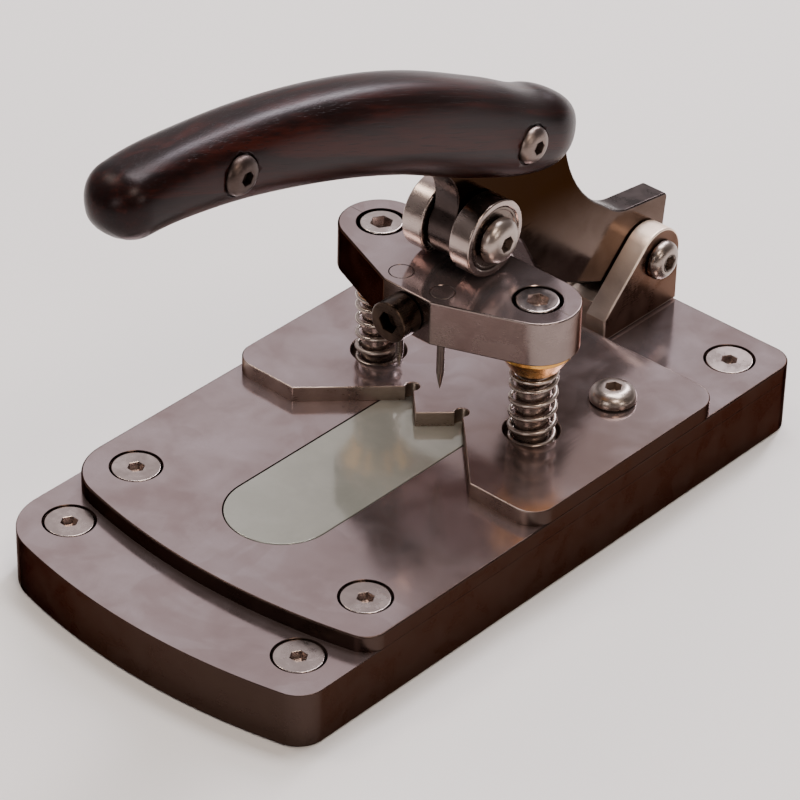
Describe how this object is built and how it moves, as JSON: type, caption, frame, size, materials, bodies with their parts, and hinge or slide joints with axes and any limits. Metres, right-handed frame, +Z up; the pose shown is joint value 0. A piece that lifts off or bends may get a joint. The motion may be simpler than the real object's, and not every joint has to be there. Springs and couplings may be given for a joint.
{
  "type": "strap hole punch",
  "caption": "Bench press for piercing pairs of holes in leather straps: a hand lever with rollers pushes a sprung needle holder down guide posts onto a cutting insert.",
  "frame": {"origin": "on the bench, under the middle of the base plate", "axes": "+Z up; -Y towards the grip's end and the user; +X to the right when seen from the user's side"},
  "size_m": [0.0798, 0.1577, 0.1097],
  "materials": {
    "plate_steel": "ground and lightly stained, with broken edges",
    "cutting_insert": "matt",
    "screw_steel": "bright",
    "ground_steel": "ground and polished",
    "spring_steel": "drawn wire",
    "bush_brass": "turned",
    "black_oxide": "blackened",
    "lever_steel": "ground faces, stained edges",
    "rosewood": "oiled and polished, dark grain"
  },
  "bodies": {
    "base": {"base_plate": "plate_steel", "upper_plate": "plate_steel", "anvil_insert": "cutting_insert", "fence_plate": "plate_steel", "fence_screw_left": "screw_steel", "fence_screw_right": "screw_steel", "front_screw_left": "screw_steel", "front_screw_right": "screw_steel", "plate_screw_left": "screw_steel", "plate_screw_right": "screw_steel", "rear_screw_left": "screw_steel", "rear_screw_right": "screw_steel", "guide_post_left": "ground_steel", "guide_post_right": "ground_steel", "post_cap_screw_left": "screw_steel", "post_cap_screw_right": "screw_steel", "post_foot_screw_left": "screw_steel", "post_foot_screw_right": "screw_steel", "return_spring_left": "spring_steel", "return_spring_right": "spring_steel", "pivot_bracket": "plate_steel", "bracket_bolt_front": "screw_steel", "bracket_bolt_rear": "screw_steel", "pivot_pin": "ground_steel", "pivot_screw_left": "screw_steel", "pivot_screw_right": "screw_steel"},
    "lever": {"hub_bush": "bush_brass", "lever": "lever_steel", "handle_grip": "rosewood", "handle_screw_front": "screw_steel", "handle_screw_rear": "screw_steel", "handle_nut_front": "screw_steel", "handle_nut_rear": "screw_steel", "roller_screw_left": "screw_steel", "roller_screw_right": "screw_steel", "bearing_inner_left": "ground_steel", "bearing_inner_right": "ground_steel", "bearing_balls_left": "ground_steel", "bearing_balls_right": "ground_steel"},
    "ram": {"punch_holder": "plate_steel", "guide_bush_left": "bush_brass", "guide_bush_right": "bush_brass", "needle_left": "ground_steel", "needle_right": "ground_steel", "needle_clamp_screw": "black_oxide"},
    "roller_left": {"bearing_outer_left": "ground_steel", "bearing_shield_inner_left": "spring_steel", "bearing_shield_outer_left": "spring_steel"},
    "roller_right": {"bearing_outer_right": "ground_steel", "bearing_shield_inner_right": "spring_steel", "bearing_shield_outer_right": "spring_steel"}
  },
  "joints": [
    {"name": "lever_pivot", "type": "hinge", "parent": "base", "child": "lever", "pos_m": [0, 0.069, 0.0283], "axis": [1, 0, 0], "range_deg": [0, 10.9]},
    {"name": "ram_slide", "type": "slide", "parent": "base", "child": "ram", "axis": [0, 0, -1], "range_m": [0, 0.0105], "stiffness_N_per_m": 6000, "springref_m": -0.002, "deforming": ["return_spring_left", "return_spring_right"]},
    {"name": "roller_left_spin", "type": "hinge", "parent": "lever", "child": "roller_left", "pos_m": [-0.006, 0.01625, 0.0572], "axis": [1, 0, 0], "continuous": true},
    {"name": "roller_right_spin", "type": "hinge", "parent": "lever", "child": "roller_right", "pos_m": [0.006, 0.01625, 0.0572], "axis": [1, 0, 0], "continuous": true}
  ],
  "couplings": [
    {"joint": "ram_slide", "follows": "lever_pivot", "m_per_rad": 0.05515}
  ]
}
